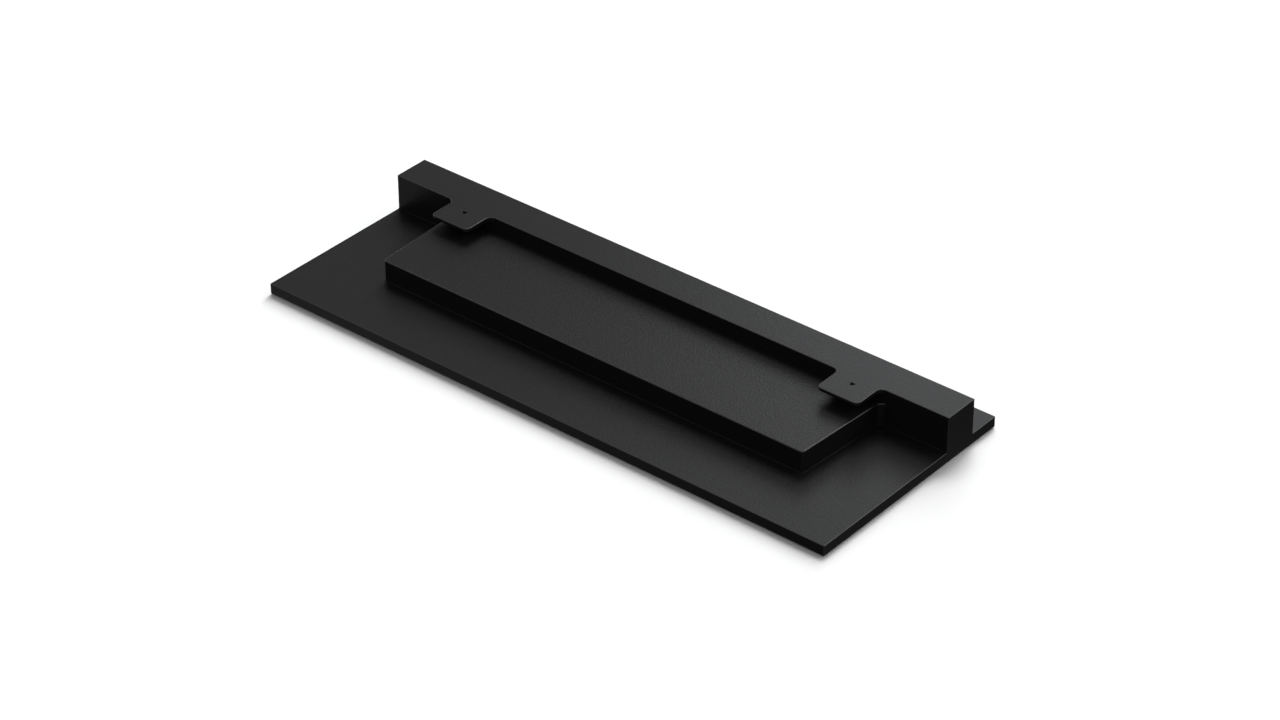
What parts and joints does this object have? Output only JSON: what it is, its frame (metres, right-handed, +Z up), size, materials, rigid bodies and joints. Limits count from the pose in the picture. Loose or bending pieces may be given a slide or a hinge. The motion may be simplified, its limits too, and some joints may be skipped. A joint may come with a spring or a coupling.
{
  "type": "console vertical stand",
  "caption": "Low black plastic stand with a long rail, a raised seat in front of it and catch tabs that reach over the seat, for a game console stood on its long side.",
  "frame": {"origin": "centre of the footprint, on the surface that the stand rests on", "axes": "+X along the stand, -Y towards the side that the console is pushed on from, +Z up"},
  "size_m": [0.295, 0.114, 0.0221],
  "materials": {
    "moulding": "black, fine spark-eroded texture",
    "feet": "matte black"
  },
  "bodies": {
    "root": {"stand_moulding": "moulding", "foot_front_left": "feet", "foot_front_middle": "feet", "foot_front_right": "feet", "foot_back_left": "feet", "foot_back_middle": "feet", "foot_back_right": "feet"}
  },
  "joints": []
}
